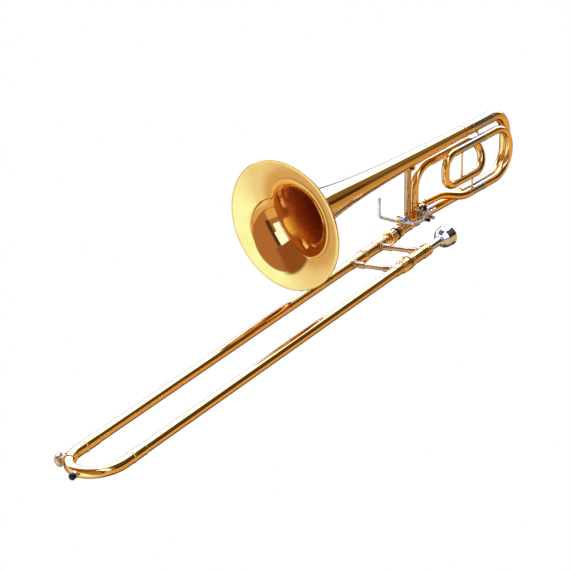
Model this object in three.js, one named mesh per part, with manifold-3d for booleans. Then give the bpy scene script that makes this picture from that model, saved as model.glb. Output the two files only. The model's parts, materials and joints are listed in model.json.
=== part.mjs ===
// A tenor trombone with an F attachment in a traditional wrap, its hand slide closed.
// Lengths are in millimetres. Bell-section frame: origin at the centre of the bell rim, +X out of
// the bell, +Y towards the mouthpiece, +Z up. The part's own origin is the middle of the bell
// brace, where the left hand holds the instrument.
import * as THREE from "three";
import { mergeVertices } from "three/addons/utils/BufferGeometryUtils.js";
import Module from "manifold-3d";

const wasm = await Module();
wasm.setup();

// ---- driving dimensions ----
const GAP = 0.3;
const TUBE_SIDES = 12;

const BELL = { rim: 108, length: 470, flareStart: 18, flarePower: 0.715, wall: 1.2, bead: 3.4, seam: 110 };
const SECTION_HEIGHT = 113;
const MAIN_CROOK = { end: -599, radius: 44.5, upper: 9.9, lower: 8.6, wall: 0.8 };
const UPPER_SLEEVE = { start: -494, end: -552, outer: 10.5, inner: 9.7 };
const LOWER_SLEEVE = { start: -478, end: -552, outer: 9.2, inner: 8.4 };
const NECKPIPE = { outer: 8, inner: 7 };

const F_TUBE = { outer: 6.8, inner: 6.1 };
const F_PLANE = { y: 20, upper: -15.5, lower: -105.5 };
const F_INNER = { upper: -23, lower: -73.5 };
const F_BOW_END = -583.5;

const VALVE = { x: -344, z: -102, outer: 16, inner: 13.8, half: 11 };
const F_RISER_X = VALVE.x + 6.5;
const F_PORT_RISE = 10;
const ROTOR = { radius: 13.4, spindle: 2.4 };
const SPRING_POST = { radius: 22.5, angle: 212, size: 3.2, end: 22.5 };
const ARM = { start: 15.6, end: 20, radius: 13, pin: 1.8, rest: 125, turn: 90 };
const LEVER = { hinge: { x: -301, z: -97, pin: 1.7 }, wire: 2.2, pinEnd: 29, seat: { y: 1.8, z: -118.5 } };
const POST = { x: -319, radius: 5.7 };

const SLIDE_ORIGIN = { x: -331.9, z: -117.6 };
const SLIDE_TILT = { pitch: 1.69, yaw: 3.28, roll: 8.44 };
const SLIDE_SPACING = 89;
const SLIDE_TUBE = { outer: 8.1, inner: 7.55, start: 168, end: 806 };
const INNER_TUBE = { outer: 6.95, inner: 6.4, stocking: 7.2, start: 100, end: 665, stockingEnd: 795 };
const WATER_KEY = { angle: -62, stem: 4, travel: 1.8 };
const BOW = { outer: 8.6, inner: 7.4, centre: 848 };

const degrees = THREE.MathUtils.degToRad;

// ---- materials ----
const metal = (color, roughness) => new THREE.MeshStandardMaterial({ color, roughness, metalness: 1 });
const LACQUERED_BRASS = metal(0xd9a441, 0.2);
const NICKEL_SILVER = metal(0xb9b6ae, 0.22);
const SILVER_PLATE = metal(0xdcdcd8, 0.12);
const STEEL = metal(0x77777a, 0.35);
const RUBBER = new THREE.MeshStandardMaterial({ color: 0x111111, roughness: 0.7, metalness: 0 });

function piece(name, geometry, material) {
  const mesh = new THREE.Mesh(geometry, material);
  mesh.name = name;
  return mesh;
}

// ---- joining and cutting ----
function toSolid(geometry) {
  const bare = geometry.clone();
  bare.deleteAttribute("normal");
  bare.deleteAttribute("uv");
  const merged = mergeVertices(bare, 1e-4);
  return new wasm.Manifold(new wasm.Mesh({
    numProp: 3,
    vertProperties: merged.attributes.position.array,
    triVerts: new Uint32Array(merged.index.array),
  }));
}

function toGeometry(solid) {
  const mesh = solid.getMesh();
  const geometry = new THREE.BufferGeometry();
  geometry.setAttribute("position", new THREE.BufferAttribute(mesh.vertProperties, 3));
  geometry.setIndex(new THREE.BufferAttribute(mesh.triVerts, 1));
  geometry.computeVertexNormals();
  return geometry;
}

function join(...geometries) {
  return toGeometry(geometries.map(toSolid).reduce((sum, next) => sum.add(next)));
}

function cut(geometry, ...tools) {
  return toGeometry(tools.map(toSolid).reduce((rest, tool) => rest.subtract(tool), toSolid(geometry)));
}

// ---- round pieces on an axis ----
// A profile is a list of [x, radius] points that walks along the outside towards +X and, on a hollow
// piece, back along the inside; the result turns about the X axis.
function turned(profile, sides = TUBE_SIDES) {
  const points = profile.map(([x, radius]) => new THREE.Vector2(radius, x));
  return new THREE.LatheGeometry(points, sides).rotateZ(-Math.PI / 2);
}

function tube(start, end, outer, inner, sides = TUBE_SIDES) {
  return turned([[start, outer], [end, outer], [end, inner], [start, inner], [start, outer]], sides);
}

function rod(start, end, radius, sides = 12) {
  return turned([[start, 0], [start, radius], [end, radius], [end, 0]], sides);
}

const alongY = (geometry) => geometry.rotateZ(Math.PI / 2);
const alongZ = (geometry) => geometry.rotateY(-Math.PI / 2);

// ---- bent pipes ----
// A centre line of straight legs between corner points, with a round bend at every inner corner.
function bentLine(corners, radius, stepsPerBend = 6) {
  const stations = [corners[0].clone()];
  for (let i = 1; i < corners.length - 1; i += 1) {
    const back = corners[i - 1].clone().sub(corners[i]).normalize();
    const ahead = corners[i + 1].clone().sub(corners[i]).normalize();
    const turn = Math.PI - back.angleTo(ahead);
    const inset = radius * Math.tan(turn / 2);
    const centre = back.clone().add(ahead).normalize();
    centre.multiplyScalar(radius / Math.cos(turn / 2)).add(corners[i]);
    const from = back.clone().multiplyScalar(inset).add(corners[i]).sub(centre);
    const axis = new THREE.Vector3().crossVectors(ahead, back).normalize();
    for (let k = 0; k <= stepsPerBend; k += 1) {
      stations.push(from.clone().applyAxisAngle(axis, (turn * k) / stepsPerBend).add(centre));
    }
  }
  stations.push(corners[corners.length - 1].clone());
  return stations.filter((p, i) => i === 0 || p.distanceTo(stations[i - 1]) > 0.01);
}

function frames(stations) {
  const last = stations.length - 1;
  let across = null;
  return stations.map((position, i) => {
    const before = stations[Math.max(i - 1, 0)];
    const after = stations[Math.min(i + 1, last)];
    const along = after.clone().sub(before).normalize();
    if (!across) {
      const other = Math.abs(along.y) < 0.9 ? new THREE.Vector3(0, 1, 0) : new THREE.Vector3(0, 0, 1);
      across = new THREE.Vector3().crossVectors(along, other).normalize();
    }
    across = across.clone().addScaledVector(along, -across.dot(along)).normalize();
    return { position, across, up: new THREE.Vector3().crossVectors(along, across) };
  });
}

// A pipe along the stations. The radii are functions of the station's number, and a pipe whose
// inner radius is left out is a solid rod. Each lathe ring moves to its own station.
function pipe(stations, outer, inner = null, sides = TUBE_SIDES) {
  const places = frames(stations);
  const outside = places.map((_, i) => new THREE.Vector2(outer(i), i));
  const inside = inner
    ? places.map((_, i) => new THREE.Vector2(inner(i), i)).reverse()
    : [new THREE.Vector2(0, places.length - 1)];
  const start = inner ? outside[0].clone() : new THREE.Vector2(0, 0);
  const profile = inner ? [...outside, ...inside, start] : [start, ...outside, ...inside];
  const geometry = new THREE.LatheGeometry(profile, sides);
  const ring = geometry.attributes.position;
  for (let i = 0; i < ring.count; i += 1) {
    const { position, across, up } = places[Math.round(ring.getY(i))];
    const point = position.clone().addScaledVector(across, ring.getZ(i)).addScaledVector(up, ring.getX(i));
    ring.setXYZ(i, point.x, point.y, point.z);
  }
  geometry.computeVertexNormals();
  return geometry;
}

const plainPipe = (corners, radius, size, steps) =>
  pipe(bentLine(corners, radius, steps), () => size.outer, () => size.inner);

const at = (x, y, z) => new THREE.Vector3(x, y, z);

// ---- bell section ----
const bellRadius = (behind) => BELL.rim * (BELL.flareStart / (BELL.flareStart + behind)) ** BELL.flarePower;

// The outside and the inside of the spun brass, from one distance behind the rim to another.
function bellWall(from, to, rings, crowding) {
  const outside = [];
  const inside = [];
  for (let k = 0; k <= rings; k += 1) {
    const behind = from + (to - from) * (1 - k / rings) ** crowding;
    const radius = bellRadius(behind);
    const slope = (BELL.flarePower * radius) / (BELL.flareStart + behind);
    const stretch = BELL.wall / Math.hypot(1, slope);
    outside.push([-behind, radius]);
    inside.unshift([-behind + slope * stretch, radius - stretch]);
  }
  inside[inside.length - 1][0] = -to;
  return { outside, inside };
}

function bellFlare() {
  const { rim, bead, seam } = BELL;
  const { outside, inside } = bellWall(2.8, seam, 8, 1.8);
  const rolledRim = [
    [-2.2, rim - 4], [-bead, rim - 3], [-bead, rim - 0.6], [-bead + 1, rim], [-0.8, rim], [0, rim - 0.6],
    [0, rim - 3.2],
  ];
  return turned([...outside, ...rolledRim, ...inside, outside[0]], 32);
}

function bellStem() {
  const { outside, inside } = bellWall(BELL.seam + GAP, BELL.length, 6, 1.4);
  inside[0][0] = outside[outside.length - 1][0];
  return turned([...outside, ...inside, outside[0]], 24);
}

function bellSection() {
  const group = new THREE.Group();
  const tail = bellRadius(BELL.length);
  group.add(
    piece("bell_flare", bellFlare(), LACQUERED_BRASS),
    piece("bell_stem", bellStem(), LACQUERED_BRASS),
    piece("bell_tail_ferrule",
      tube(UPPER_SLEEVE.start + GAP, -BELL.length - GAP, tail + 1, tail - 0.4), LACQUERED_BRASS),
    piece("tuning_sleeve_upper",
      tube(UPPER_SLEEVE.end, UPPER_SLEEVE.start, UPPER_SLEEVE.outer, UPPER_SLEEVE.inner), NICKEL_SILVER),
  );
  const lower = new THREE.Group();
  lower.position.z = -SECTION_HEIGHT;
  const neckStart = VALVE.x - VALVE.outer - 5 - GAP;
  lower.add(
    piece("neckpipe", tube(LOWER_SLEEVE.start + 8, neckStart, NECKPIPE.outer, NECKPIPE.inner), LACQUERED_BRASS),
    piece("neckpipe_ferrule",
      tube(LOWER_SLEEVE.start + GAP, LOWER_SLEEVE.start + 8 - GAP, 9.8, 7.4), LACQUERED_BRASS),
    piece("tuning_sleeve_lower",
      tube(LOWER_SLEEVE.end, LOWER_SLEEVE.start, LOWER_SLEEVE.outer, LOWER_SLEEVE.inner), NICKEL_SILVER),
  );
  group.add(lower);
  return group;
}

function mainTuningSlide() {
  const { end, radius, upper, lower, wall } = MAIN_CROOK;
  const insert = 54;
  const corners = [
    at(UPPER_SLEEVE.end - GAP, 0, 0), at(end, 0, 0), at(end, 0, -SECTION_HEIGHT),
    at(LOWER_SLEEVE.end - GAP, 0, -SECTION_HEIGHT),
  ];
  const line = bentLine(corners, radius, 5);
  const taper = (i) => THREE.MathUtils.lerp(upper, lower, i / (line.length - 1));
  const crook = pipe(line, taper, (i) => taper(i) - wall);
  const upperLeg = tube(UPPER_SLEEVE.end - 6, UPPER_SLEEVE.end + insert, UPPER_SLEEVE.inner - GAP,
    UPPER_SLEEVE.inner - GAP - wall);
  const lowerLeg = tube(LOWER_SLEEVE.end - 6, LOWER_SLEEVE.end + insert, LOWER_SLEEVE.inner - GAP,
    LOWER_SLEEVE.inner - GAP - wall);
  lowerLeg.translate(0, 0, -SECTION_HEIGHT);
  return piece("main_tuning_slide", join(crook, upperLeg, lowerLeg), LACQUERED_BRASS);
}

function bellBrace() {
  const group = new THREE.Group();
  const bellUnderside = bellRadius(-POST.x);
  const top = -bellUnderside - 3;
  const foot = SLIDE_ORIGIN.z + 12.6;
  const post = alongZ(rod(foot + GAP, top - GAP, POST.radius, 16));
  const bore = alongZ(rod(foot - 1, top + 1, POST.radius - 1.2, 16));
  const saddle = new THREE.BoxGeometry(24, 15, 7).translate(0, 0, top + 3.5);
  const bellTube = rod(-40, 40, bellUnderside + 1, 24);
  const footDisc = alongZ(rod(foot - 9, foot, POST.radius + 2.6, 16));
  const receiver = rod(-40, 40, 9.5, 24).translate(0, 0, SLIDE_ORIGIN.z);
  group.add(
    piece("bell_brace_post", cut(post, bore), LACQUERED_BRASS),
    piece("bell_brace_flange", cut(saddle, bellTube), LACQUERED_BRASS),
    piece("bell_brace_foot", cut(footDisc, receiver), LACQUERED_BRASS),
  );
  group.position.x = POST.x;
  return group;
}

// ---- F attachment ----
function fAttachment() {
  const group = new THREE.Group();
  const { y, upper, lower } = F_PLANE;
  const riserFoot = VALVE.z + VALVE.outer + 5 + GAP;
  const rearBowStart = -483;
  const rearBowEnd = rearBowStart - 2 - Math.hypot(y, F_INNER.upper - F_INNER.lower) / 2;
  const frontBowEnd = -397;
  const frontBowStart = -424;
  const sleeveEnd = -506;
  const sBendStart = -466;
  const portZ = VALVE.z + F_PORT_RISE;
  const portX = VALVE.x - VALVE.outer - 3 - 2 * GAP;
  group.add(
    piece("f_riser", plainPipe([
      at(F_RISER_X, 0, riserFoot), at(F_RISER_X, 0, F_INNER.upper), at(rearBowStart + GAP, 0, F_INNER.upper),
    ], 36, F_TUBE, 4), LACQUERED_BRASS),
    piece("f_rear_bow", plainPipe([
      at(rearBowStart, 0, F_INNER.upper), at(rearBowEnd, 0, F_INNER.upper),
      at(rearBowEnd, y, F_INNER.lower), at(rearBowStart, y, F_INNER.lower),
    ], rearBowStart - 2 - rearBowEnd, F_TUBE, 5), LACQUERED_BRASS),
    piece("f_inner_run", tube(rearBowStart + GAP, frontBowStart - GAP, F_TUBE.outer, F_TUBE.inner)
      .translate(0, y, F_INNER.lower), LACQUERED_BRASS),
    piece("f_front_bow", plainPipe([
      at(frontBowStart, y, F_INNER.lower), at(frontBowEnd, y, F_INNER.lower),
      at(frontBowEnd, y, upper), at(frontBowStart, y, upper),
    ], 23.5, F_TUBE, 4), LACQUERED_BRASS),
    piece("f_slide_sleeve_upper", tube(sleeveEnd, frontBowStart - GAP, F_TUBE.outer, F_TUBE.inner)
      .translate(0, y, upper), LACQUERED_BRASS),
    piece("f_slide_sleeve_lower", tube(sleeveEnd, sBendStart - GAP, F_TUBE.outer, F_TUBE.inner)
      .translate(0, y, lower), LACQUERED_BRASS),
    piece("f_s_bend", plainPipe([
      at(sBendStart, y, lower), at(sBendStart + 18, y, lower), at(portX - 46, 4, portZ - 1),
      at(portX, 2, portZ),
    ], 60, F_TUBE, 3), LACQUERED_BRASS),
  );
  const leg = { outer: F_TUBE.inner - GAP, inner: F_TUBE.inner - GAP - 0.7 };
  const bowRadius = (upper - lower) / 2;
  const bow = plainPipe([
    at(sleeveEnd - GAP, y, upper), at(F_BOW_END, y, upper), at(F_BOW_END, y, lower),
    at(sleeveEnd - GAP, y, lower),
  ], bowRadius, { outer: F_TUBE.outer, inner: leg.inner + 0.2 }, 5);
  const legs = [upper, lower].map((z) => tube(sleeveEnd - 6, sleeveEnd + 36, leg.outer, leg.inner)
    .translate(0, y, z));
  group.add(piece("f_tuning_slide", join(bow, ...legs), LACQUERED_BRASS));

  const inner = at(0, y, F_INNER.lower);
  group.add(
    wrapBrace("f_brace_inner", -444, at(0, y, upper), inner, F_TUBE.outer, F_TUBE.outer),
    wrapBrace("f_brace_lower", -475, inner, at(0, y, lower), F_TUBE.outer, F_TUBE.outer),
    wrapBrace("f_brace_bell", -501, at(0, 0, 0), at(0, y, upper), UPPER_SLEEVE.outer, F_TUBE.outer),
  );
  return group;
}

// A thin stay across the wrap, with a small flange against the tube at each end.
function wrapBrace(name, x, from, to, fromRadius, toRadius) {
  const across = to.clone().sub(from);
  const start = fromRadius + GAP;
  const end = across.length() - toRadius - GAP;
  const flange = Math.min(2.2, (end - start) / 3);
  const stay = turned([
    [start, 0], [start, 3], [start + flange, 1.5], [end - flange, 1.5], [end, 3], [end, 0],
  ], 10);
  const mesh = piece(name, stay, LACQUERED_BRASS);
  mesh.position.copy(from).setX(x);
  mesh.quaternion.setFromUnitVectors(at(1, 0, 0), across.normalize());
  return mesh;
}

// ---- rotary valve ----
function valve() {
  const group = new THREE.Group();
  const { outer, inner, half } = VALVE;
  const port = 7;
  const reach = outer + 5;
  const mouth = 8;
  const lowerBack = -SECTION_HEIGHT - VALVE.z;
  const lowerFront = SLIDE_ORIGIN.z - VALVE.z;
  const riserOffset = F_RISER_X - VALVE.x;
  const bores = [
    rod(-reach - 1, -mouth, port).translate(0, 0, lowerBack),
    rod(mouth, reach + 1, port).translate(0, 0, lowerFront),
    rod(-reach - 1, -mouth, F_TUBE.inner).translate(0, 2, F_PORT_RISE),
    alongZ(rod(mouth, reach + 1, F_TUBE.inner)).translate(riserOffset, 0, 0),
  ];
  const stubs = [
    rod(-reach, -mouth / 2, port + 1.4, 16).translate(0, 0, lowerBack),
    rod(mouth / 2, reach, port + 1.4, 16).translate(0, 0, lowerFront),
    rod(-reach + 2, -mouth / 2, F_TUBE.outer + 0.8, 16).translate(0, 2, F_PORT_RISE),
    alongZ(rod(mouth / 2, reach, F_TUBE.outer + 0.8, 16)).translate(riserOffset, 0, 0),
  ];
  const barrel = alongY(rod(-half, half, outer, 24));
  const chamber = alongY(rod(-half - 1, half + 1, inner, 24));
  const body = alongY(rod(-half + 2.5, half - 2.5, ROTOR.radius, 24));
  const spindle = alongY(rod(-half - 4, ARM.end, ROTOR.spindle));
  const passages = [-1, 1].map((side) => rod(-outer, outer, 6).translate(0, 0, side * 9.3));
  const farCap = alongY(turned([
    [-half - 7, 7], [-half - 5, 7], [-half - 5, 12], [-half - 0.5, 13], [-half - 0.5, 16.8],
    [-half - GAP, 16.8], [-half - GAP, 13.4], [-half + 2, 13.4], [-half + 2, ROTOR.spindle + GAP],
    [-half - 7, ROTOR.spindle + GAP], [-half - 7, 7],
  ], 20));
  group.add(
    piece("valve_casing", cut(join(barrel, ...stubs), chamber, ...bores), LACQUERED_BRASS),
    piece("valve_rotor", cut(join(body, spindle), ...passages), NICKEL_SILVER),
    piece("valve_cap", farCap, LACQUERED_BRASS),
    piece("valve_bearing_plate", alongY(tube(half - 2, half + 2, 13.4, ROTOR.spindle + GAP, 20)), NICKEL_SILVER),
  );
  group.add(stopPlate(), stopArm());
  group.position.set(VALVE.x, 0, VALVE.z);
  return group;
}

// A point at a distance from the rotor's axis, at an angle measured from +X up towards +Z.
const aroundRotor = (angle, radius = ARM.radius) => [
  radius * Math.cos(degrees(angle)),
  radius * Math.sin(degrees(angle)),
];

function stopPlate() {
  const group = new THREE.Group();
  const start = VALVE.half + 2 + GAP;
  const plate = alongY(tube(start, start + 2, 12, ROTOR.spindle + GAP, 20));
  const spread = 28;
  const angles = [ARM.rest - spread, ARM.rest + ARM.turn + spread];
  const arms = angles.map((angle) => {
    const [x, z] = aroundRotor(angle);
    return alongY(rod(start, start + 2, 4.2, 12)).translate(x, 0, z);
  });
  const [postX, postZ] = aroundRotor(SPRING_POST.angle, SPRING_POST.radius);
  const strut = new THREE.BoxGeometry(SPRING_POST.radius, 2, 6).translate(SPRING_POST.radius / 2, start + 1, 0);
  strut.rotateY(-degrees(SPRING_POST.angle));
  const web = cut(strut, alongY(rod(start - 1, start + 3, 6)));
  const postSeat = alongY(rod(start, start + 2, 4.2, 12)).translate(postX, 0, postZ);
  const postKnob = alongY(rod(start + 2 + GAP, SPRING_POST.end, SPRING_POST.size, 14));
  group.add(
    piece("stop_plate", join(plate, ...arms, web, postSeat), NICKEL_SILVER),
    piece("spring_post", postKnob.translate(postX, 0, postZ), STEEL),
  );
  angles.forEach((angle, i) => {
    const [x, z] = aroundRotor(angle);
    const bumper = alongY(rod(start + 2 + GAP, ARM.end + 3, 3, 12)).translate(x, 0, z);
    group.add(piece(["upper_stop_bumper", "lower_stop_bumper"][i], bumper, RUBBER));
  });
  return group;
}

function stopArm() {
  const hub = alongY(tube(ARM.start, ARM.end, 8.5, ROTOR.spindle + GAP, 20));
  const [x, z] = aroundRotor(ARM.rest);
  const arm = new THREE.BoxGeometry(10, ARM.end - ARM.start - 1, 4.6).translate(8, (ARM.start + ARM.end) / 2, 0);
  arm.rotateY(-degrees(ARM.rest));
  const pin = alongY(rod(ARM.start + 0.6, LEVER.pinEnd, ARM.pin, 10)).translate(x, 0, z);
  return piece("stop_arm", join(hub, arm, pin), NICKEL_SILVER);
}

// ---- thumb lever ----
function thumbLever() {
  const group = new THREE.Group();
  const { hinge, wire, pinEnd } = LEVER;
  const [armX, armZ] = aroundRotor(ARM.rest);
  const forkX = VALVE.x + armX;
  const forkZ = VALVE.z + armZ;
  const forkY = pinEnd - 4;
  const wireUnder = at(hinge.x, 5, hinge.z - 7);
  const wirePath = bentLine([
    at(-242, 0, -39), at(-242, 0, -74), at(-286, 0, -98), wireUnder, at(-311, 18, -107), at(-328, 25, -106),
    at(forkX + 8, forkY, forkZ - 3),
  ], 9, 3);
  const collar = alongY(tube(0.8, 9, 4.6, hinge.pin + GAP, 14)).translate(hinge.x, 0, hinge.z);
  const web = new THREE.BoxGeometry(3, 3.4, 4).translate(wireUnder.x, wireUnder.y, wireUnder.z + 2.4);
  const prong = { start: -12, end: 12, thick: 2.2, gap: ARM.pin + 1.2 };
  const plate = new THREE.BoxGeometry(prong.end - prong.start, 3.4, 2 * (prong.gap + prong.thick))
    .translate(forkX, forkY, forkZ);
  const slot = new THREE.BoxGeometry(prong.end - prong.start, 6, 2 * prong.gap)
    .translate(forkX - 5, forkY, forkZ + 0.5);
  const wireSolid = pipe(wirePath, () => wire, null, 8);
  group.add(piece("thumb_lever", join(cut(plate, slot), wireSolid, collar, web), SILVER_PLATE));

  const seatRadius = 9.3;
  const seat = rod(hinge.x - 20, hinge.x + 20, seatRadius, 24).translate(0, LEVER.seat.y, LEVER.seat.z);
  const base = new THREE.BoxGeometry(9, 9.6, 5).translate(hinge.x + 0.5, -2.4, LEVER.seat.z + seatRadius);
  const boss = new THREE.BoxGeometry(8, 7, 16).translate(hinge.x, -3, hinge.z - 3.6);
  const pinHole = alongY(rod(-12, 12, hinge.pin + GAP)).translate(hinge.x, 0, hinge.z);
  const pin = join(alongY(rod(-8, 9.3, hinge.pin)), alongY(rod(9.3, 11, 3.4)));
  group.add(
    piece("lever_saddle", cut(join(base, boss), seat, pinHole), LACQUERED_BRASS),
    piece("lever_pin", pin.translate(hinge.x, 0, hinge.z), STEEL),
  );
  return group;
}

// ---- hand slide ----
const FAR = 0;
const NEAR = SLIDE_SPACING;

function innerSlide() {
  const group = new THREE.Group();
  const { outer, inner, stocking, start, end, stockingEnd } = INNER_TUBE;
  const barrel = { start: 88, end: 140, outer: 9.6, inner: outer + GAP };
  for (const [side, y] of [["far", FAR], ["near", NEAR]]) {
    group.add(
      piece(`${side}_inner_tube`, tube(start + 4, end, outer, inner).translate(0, y, 0), NICKEL_SILVER),
      piece(`${side}_stocking`, tube(end + GAP, stockingEnd, stocking, inner).translate(0, y, 0), NICKEL_SILVER),
    );
  }
  const neck = { start: 47, outer: 8 };
  group.add(
    piece("slide_receiver", turned([
      [9.6, 8.6], [36, 8.6], [38, 9.6], [44.5, 9.6], [44.5, 7], [9.6, 7], [9.6, 8.6],
    ]), LACQUERED_BRASS),
    piece("far_cork_barrel", turned([
      [neck.start, neck.outer], [barrel.start - 4, neck.outer], [barrel.start, barrel.outer],
      [barrel.end, barrel.outer], [barrel.end, barrel.inner], [neck.start, barrel.inner],
      [neck.start, neck.outer],
    ]), LACQUERED_BRASS),
    piece("mouthpiece_receiver", turned([
      [83, 8.2], [88, 9.6], [barrel.end, barrel.outer], [barrel.end, barrel.inner], [83, barrel.inner],
      [83, 8.2],
    ]).translate(0, NEAR, 0), LACQUERED_BRASS),
  );
  const brace = { x: 101, collar: 11, half: 7, bar: 4.1 };
  const bar = alongY(rod(brace.collar - 0.5, NEAR - brace.collar + 0.5, brace.bar, 12)).translate(brace.x, 0, 0);
  const collars = [FAR, NEAR].map((y) => tube(brace.x - brace.half, brace.x + brace.half, brace.collar,
    barrel.outer + GAP).translate(0, y, 0));
  group.add(piece("inner_slide_brace", join(bar, ...collars), LACQUERED_BRASS));
  return group;
}

function bellLockNut() {
  const inner = 8.4;
  return piece("bell_lock_nut", turned([
    [46, 9.4], [47, 10.4], [60, 10.4], [61, 12.2], [70, 12.2], [71, 11.4], [71, inner], [46, inner], [46, 9.4],
  ], 20), LACQUERED_BRASS);
}

function slideLockRing() {
  const ring = turned([
    [141, 10.6], [142, 11.4], [157, 11.4], [158, 10.6], [158, INNER_TUBE.outer + GAP],
    [141, INNER_TUBE.outer + GAP], [141, 10.6],
  ], 20);
  const knob = alongZ(rod(10, 16, 2.6, 10)).translate(153.5, 0, 0);
  return piece("slide_lock_ring", join(ring, knob).translate(0, NEAR, 0), LACQUERED_BRASS);
}

function handSlide() {
  const group = new THREE.Group();
  const { outer, inner, start, end } = SLIDE_TUBE;
  const ferrule = (from) => turned([
    [from, 10.4], [from + 1, 11.2], [from + 6, 11.2], [from + 8, 9.8], [start - GAP, 9.2], [start - GAP, inner],
    [from, inner], [from, 10.4],
  ]);
  const bowSleeveEnd = 834;
  for (const [side, y, from] of [["far", FAR, 141], ["near", NEAR, 158.4]]) {
    group.add(
      piece(`${side}_handle_ferrule`, ferrule(from).translate(0, y, 0), LACQUERED_BRASS),
      piece(`${side}_outer_tube`, tube(start, end, outer, inner).translate(0, y, 0), LACQUERED_BRASS),
      piece(`${side}_bow_sleeve`, tube(end + GAP, bowSleeveEnd, outer + 0.9, inner).translate(0, y, 0),
        LACQUERED_BRASS),
    );
  }
  const brace = { x: 176, collar: 9.8, half: 7, bar: 3.6 };
  const bar = alongY(rod(brace.collar - 0.5, NEAR - brace.collar + 0.5, brace.bar, 12)).translate(brace.x, 0, 0);
  const collars = [FAR, NEAR].map((y) => tube(brace.x - brace.half, brace.x + brace.half, brace.collar,
    outer + GAP).translate(0, y, 0));
  group.add(piece("hand_slide_brace", join(bar, ...collars), LACQUERED_BRASS));

  const bowEnd = BOW.centre + SLIDE_SPACING / 2;
  group.add(piece("slide_bow", plainPipe([
    at(bowSleeveEnd + GAP, FAR, 0), at(bowEnd, FAR, 0), at(bowEnd, NEAR, 0), at(bowSleeveEnd + GAP, NEAR, 0),
  ], SLIDE_SPACING / 2 - 0.01, BOW, 6), LACQUERED_BRASS));
  group.add(waterKey(), slideBumper());
  return group;
}

// The water key sits on the outside of the bow near the far leg: a band around the bow, and a domed
// cap on a stem that is pressed in to let the water out.
function waterKey() {
  const group = new THREE.Group();
  const bend = SLIDE_SPACING / 2;
  const band = { outer: 10.4, inner: 9.4, half: 4 };
  const socket = rod(bend, bend + 14, WATER_KEY.stem + GAP, 12);
  const loop = alongY(tube(-band.half, band.half, band.outer, band.inner, 20)).translate(bend, 0, 0);
  const start = bend + band.outer + WATER_KEY.travel + GAP;
  const cap = turned([
    [start - 1.7, 0], [start - 1.7, WATER_KEY.stem], [start, WATER_KEY.stem], [start, 9.6], [start + 1.4, 10.4],
    [start + 3.4, 10.2], [start + 6.6, 8.6], [start + 8.8, 5.6], [start + 9.8, 0],
  ], 20);
  group.add(
    piece("water_key_band", cut(loop, socket), LACQUERED_BRASS),
    piece("water_key_cap", cap, NICKEL_SILVER),
  );
  group.position.set(BOW.centre, bend, 0);
  group.rotation.z = degrees(WATER_KEY.angle);
  return group;
}

function slideBumper() {
  const group = new THREE.Group();
  const start = SLIDE_SPACING / 2 + BOW.outer + GAP;
  group.add(
    piece("bumper_holder", turned([[start, 0], [start, 5.2], [start + 3, 5.2], [start + 3, 0]]), LACQUERED_BRASS),
    piece("rubber_bumper", turned([
      [start + 3.3, 0], [start + 3.3, 4.8], [start + 8, 5.4], [start + 10.5, 4.4], [start + 10.5, 0],
    ]), RUBBER),
  );
  group.position.set(BOW.centre, SLIDE_SPACING / 2, 0);
  return group;
}

function mouthpiece() {
  return piece("mouthpiece", turned([
    [26, 15.6], [26.6, 17.6], [29, 18.6], [32, 18], [40, 17.2], [46, 15], [51, 10.5], [56, 7.2], [82, 6.3],
    [100, 5.9], [100, 4.6], [62, 3.2], [54, 3.2], [47, 8], [38, 11.6], [28, 12.8], [26, 13.6], [26, 15.6],
  ], 20).translate(0, NEAR, 0), SILVER_PLATE);
}

function slideSection() {
  const group = new THREE.Group();
  group.add(innerSlide(), bellLockNut(), slideLockRing(), handSlide(), mouthpiece());
  group.position.set(SLIDE_ORIGIN.x, 0, SLIDE_ORIGIN.z);
  const { roll, pitch, yaw } = SLIDE_TILT;
  group.rotation.set(degrees(roll), degrees(pitch), degrees(yaw), "ZYX");
  return group;
}

const instrument = new THREE.Group();
instrument.add(bellSection(), mainTuningSlide(), bellBrace(), fAttachment(), valve(), thumbLever(),
  slideSection());
instrument.position.set(-POST.x, 0, 60);

export default instrument;
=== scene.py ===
# The looks of a tenor trombone with an F attachment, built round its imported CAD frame.
# Shells are worked out in millimetres, in the frame of the bell section or of the hand slide.
import json
import math

import bmesh
import bpy
import numpy as np
from mathutils import Matrix, Vector


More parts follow.
